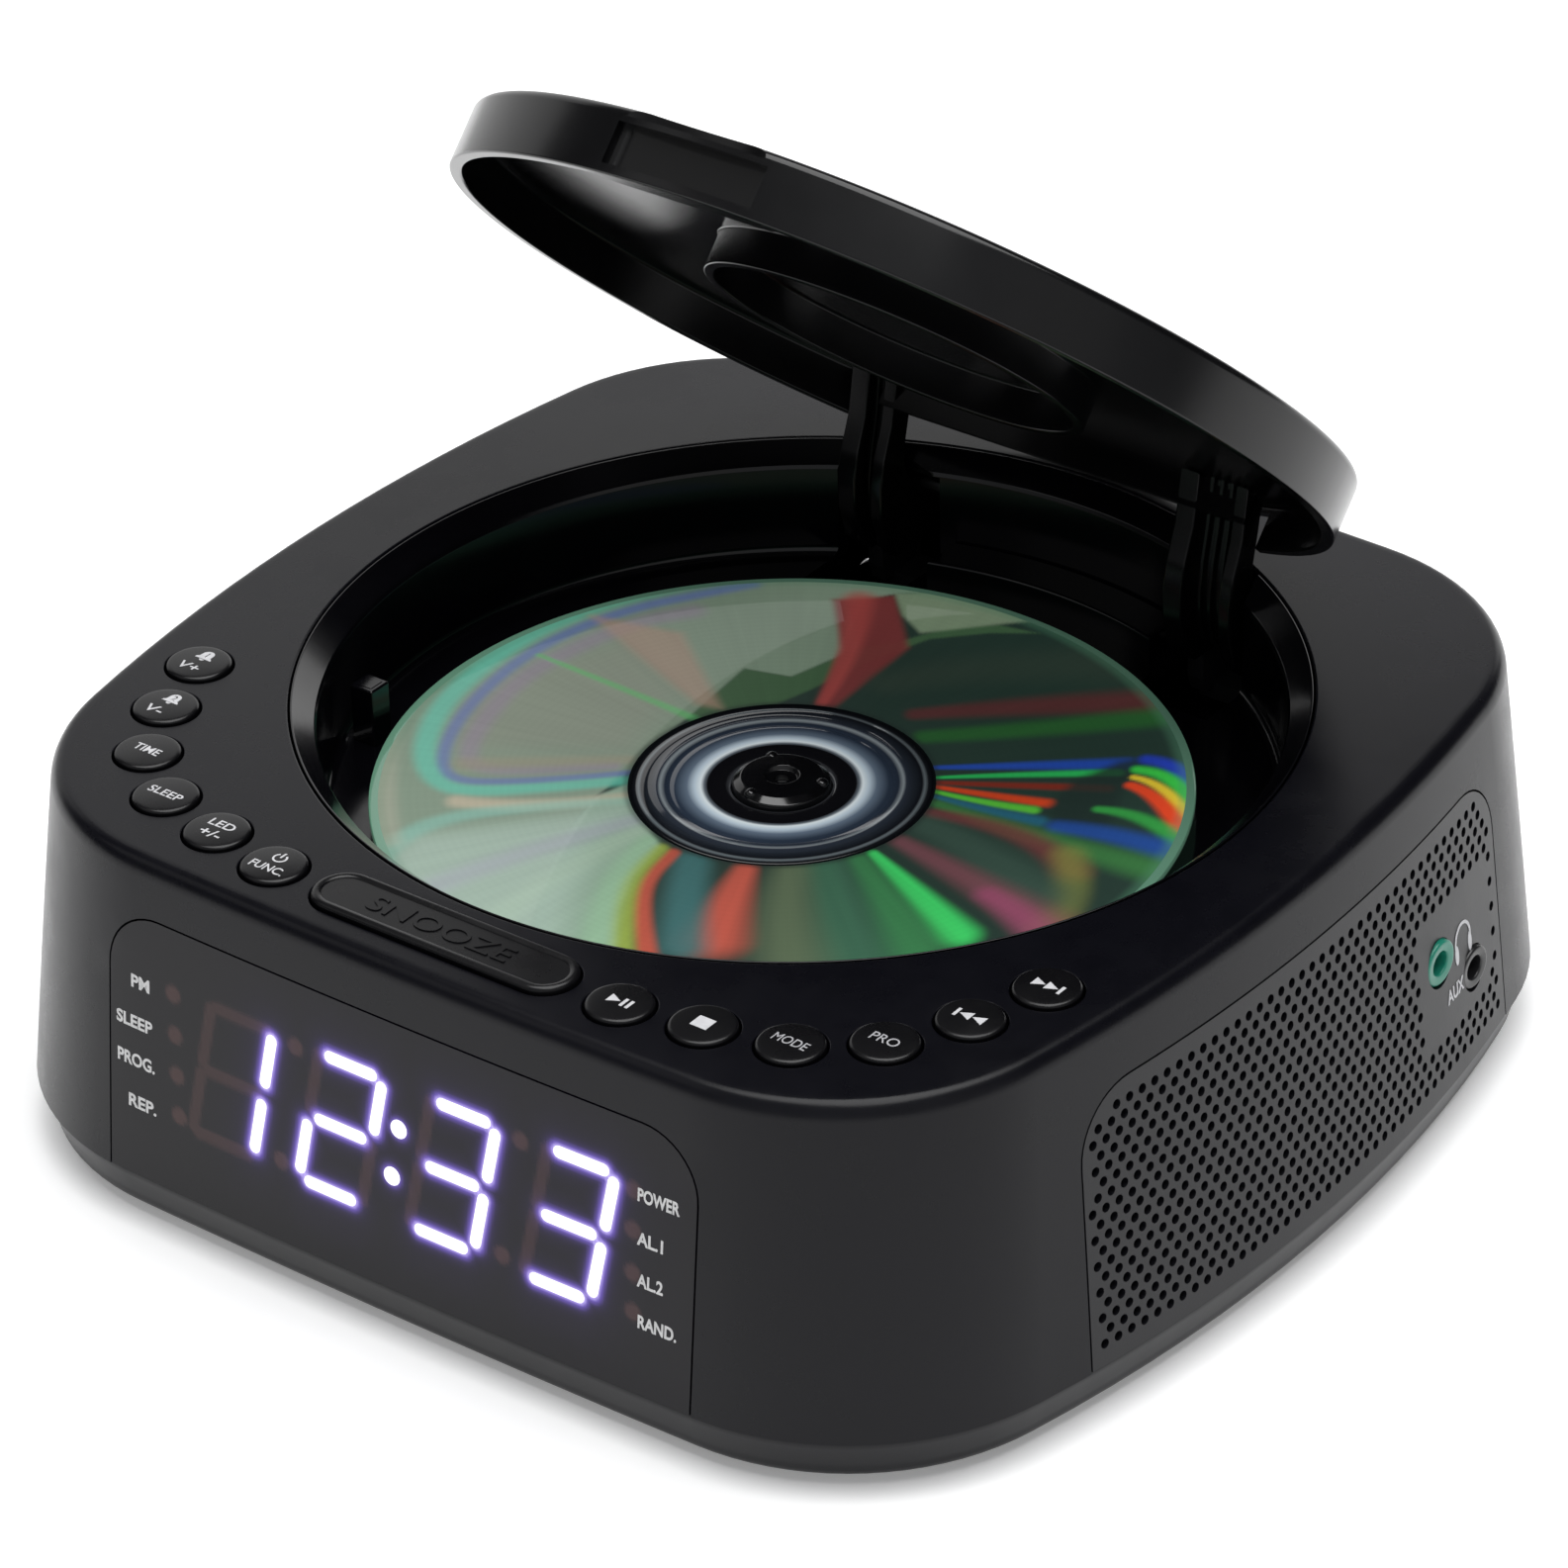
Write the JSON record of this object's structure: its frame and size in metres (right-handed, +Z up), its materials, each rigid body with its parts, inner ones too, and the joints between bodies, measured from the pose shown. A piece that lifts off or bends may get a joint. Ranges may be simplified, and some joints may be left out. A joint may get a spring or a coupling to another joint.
{
  "type": "cd clock radio",
  "caption": "Tabletop top-loading disc player with an open hinged round lid, slanted-digit clock window, ring of push buttons and side speaker grilles.",
  "frame": {"origin": "on the disc spindle's axis, in the plane the feet stand on, which is also the middle of the footprint", "axes": "+Z up, the clock display faces -Y, the headphone and line sockets are on the +X side, the lid is hinged at +Y"},
  "size_m": [0.1912, 0.183, 0.1568],
  "materials": {
    "housing": "fine matte texture",
    "base_tray": "matte",
    "well_gloss": "gloss",
    "lid_gloss": "satin gloss",
    "window": "smooth dark window",
    "display_block": "dark reflector block",
    "grille": "matte",
    "keys": "satin",
    "board": "solder mask",
    "speaker": "paper cone and painted basket",
    "disc": "mirrored polycarbonate",
    "hub": "gloss",
    "jack_green": "gloss collar",
    "jack_black": "gloss",
    "lens_optic": "clear lens",
    "rubber": "matte",
    "cell": "wrapped can",
    "chassis": "matte",
    "gear_white": "natural acetal",
    "motor": "plated can",
    "steel": "plated"
  },
  "bodies": {
    "case": {"aux_jack": "jack_black", "backup_cell_back": "cell", "backup_cell_front": "cell", "base_case": "base_tray", "battery_door": "base_tray", "button_pcb": "board", "case_screw_left": "steel", "case_screw_right": "steel", "damper_1": "rubber", "damper_2": "rubber", "damper_3": "rubber", "damper_4": "rubber", "disc_well": "well_gloss", "display_lens": "window", "display_module": "display_block", "display_pcb": "board", "foot_back_left": "rubber", "foot_back_right": "rubber", "foot_front_left": "rubber", "foot_front_right": "rubber", "grille_left": "grille", "grille_right": "grille", "guide_rod_back": "steel", "guide_rod_front": "steel", "headphone_jack": "jack_green", "hinge_bracket_left": "chassis", "hinge_bracket_right": "chassis", "hinge_pin_left": "steel", "hinge_pin_right": "steel", "lid_spring": "steel", "lid_switch_block": "well_gloss", "main_pcb": "board", "mech_chassis": "chassis", "power_inlet": "jack_black", "sled_motor": "motor", "speaker_left": "speaker", "speaker_right": "speaker", "spindle_motor": "motor", "upper_case": "housing"},
    "lid": {"lid_shell": "lid_gloss", "hinge_arm_left": "lid_gloss", "hinge_arm_right": "lid_gloss"},
    "platter": {"turntable": "hub", "compact_disc": "disc"},
    "sled": {"pickup_sled": "jack_black", "objective_lens": "lens_optic"},
    "drive_gear": {"sled_gear": "gear_white"},
    "key_function": {"button_function": "keys"},
    "key_led": {"button_led": "keys"},
    "key_mode": {"button_mode": "keys"},
    "key_next": {"button_next": "keys"},
    "key_play": {"button_play": "keys"},
    "key_previous": {"button_previous": "keys"},
    "key_program": {"button_program": "keys"},
    "key_sleep": {"button_sleep": "keys"},
    "key_snooze": {"button_snooze": "keys"},
    "key_stop": {"button_stop": "keys"},
    "key_time": {"button_time": "keys"},
    "key_volume_down": {"button_volume_down": "keys"},
    "key_volume_up": {"button_volume_up": "keys"}
  },
  "joints": [
    {"name": "lid_hinge", "type": "hinge", "parent": "case", "child": "lid", "pos_m": [0, 0.08, 0.0492], "axis": [1, 0, 0], "range_deg": [0, 43.4], "stiffness_Nm_per_rad": 0.04, "springref_deg": -51.57},
    {"name": "disc_spin", "type": "hinge", "parent": "case", "child": "platter", "pos_m": [0, 0, 0.0455], "axis": [0, 0, 1], "continuous": true},
    {"name": "sled_slide", "type": "slide", "parent": "case", "child": "sled", "axis": [1, 0, 0], "range_m": [0, 0.033]},
    {"name": "gear_turn", "type": "hinge", "parent": "case", "child": "drive_gear", "pos_m": [0.04, 0.0262, 0.0344], "axis": [0, 0, 1], "range_deg": [-2, 318]},
    {"name": "function_press", "type": "slide", "parent": "case", "child": "key_function", "axis": [0, 0, -1], "range_m": [0, 0.0008], "stiffness_N_per_m": 400, "springref_m": -0.0005},
    {"name": "led_press", "type": "slide", "parent": "case", "child": "key_led", "axis": [0, 0, -1], "range_m": [0, 0.0008], "stiffness_N_per_m": 400, "springref_m": -0.0005},
    {"name": "mode_press", "type": "slide", "parent": "case", "child": "key_mode", "axis": [0, 0, -1], "range_m": [0, 0.0008], "stiffness_N_per_m": 400, "springref_m": -0.0005},
    {"name": "next_press", "type": "slide", "parent": "case", "child": "key_next", "axis": [0, 0, -1], "range_m": [0, 0.0008], "stiffness_N_per_m": 400, "springref_m": -0.0005},
    {"name": "play_press", "type": "slide", "parent": "case", "child": "key_play", "axis": [0, 0, -1], "range_m": [0, 0.0008], "stiffness_N_per_m": 400, "springref_m": -0.0005},
    {"name": "previous_press", "type": "slide", "parent": "case", "child": "key_previous", "axis": [0, 0, -1], "range_m": [0, 0.0008], "stiffness_N_per_m": 400, "springref_m": -0.0005},
    {"name": "program_press", "type": "slide", "parent": "case", "child": "key_program", "axis": [0, 0, -1], "range_m": [0, 0.0008], "stiffness_N_per_m": 400, "springref_m": -0.0005},
    {"name": "sleep_press", "type": "slide", "parent": "case", "child": "key_sleep", "axis": [0, 0, -1], "range_m": [0, 0.0008], "stiffness_N_per_m": 400, "springref_m": -0.0005},
    {"name": "snooze_press", "type": "slide", "parent": "case", "child": "key_snooze", "axis": [0, 0, -1], "range_m": [0, 0.0008], "stiffness_N_per_m": 400, "springref_m": -0.0005},
    {"name": "stop_press", "type": "slide", "parent": "case", "child": "key_stop", "axis": [0, 0, -1], "range_m": [0, 0.0008], "stiffness_N_per_m": 400, "springref_m": -0.0005},
    {"name": "time_press", "type": "slide", "parent": "case", "child": "key_time", "axis": [0, 0, -1], "range_m": [0, 0.0008], "stiffness_N_per_m": 400, "springref_m": -0.0005},
    {"name": "volume_down_press", "type": "slide", "parent": "case", "child": "key_volume_down", "axis": [0, 0, -1], "range_m": [0, 0.0008], "stiffness_N_per_m": 400, "springref_m": -0.0005},
    {"name": "volume_up_press", "type": "slide", "parent": "case", "child": "key_volume_up", "axis": [0, 0, -1], "range_m": [0, 0.0008], "stiffness_N_per_m": 400, "springref_m": -0.0005}
  ],
  "couplings": [
    {"joint": "gear_turn", "follows": "sled_slide", "rad_per_m": 166.67}
  ]
}
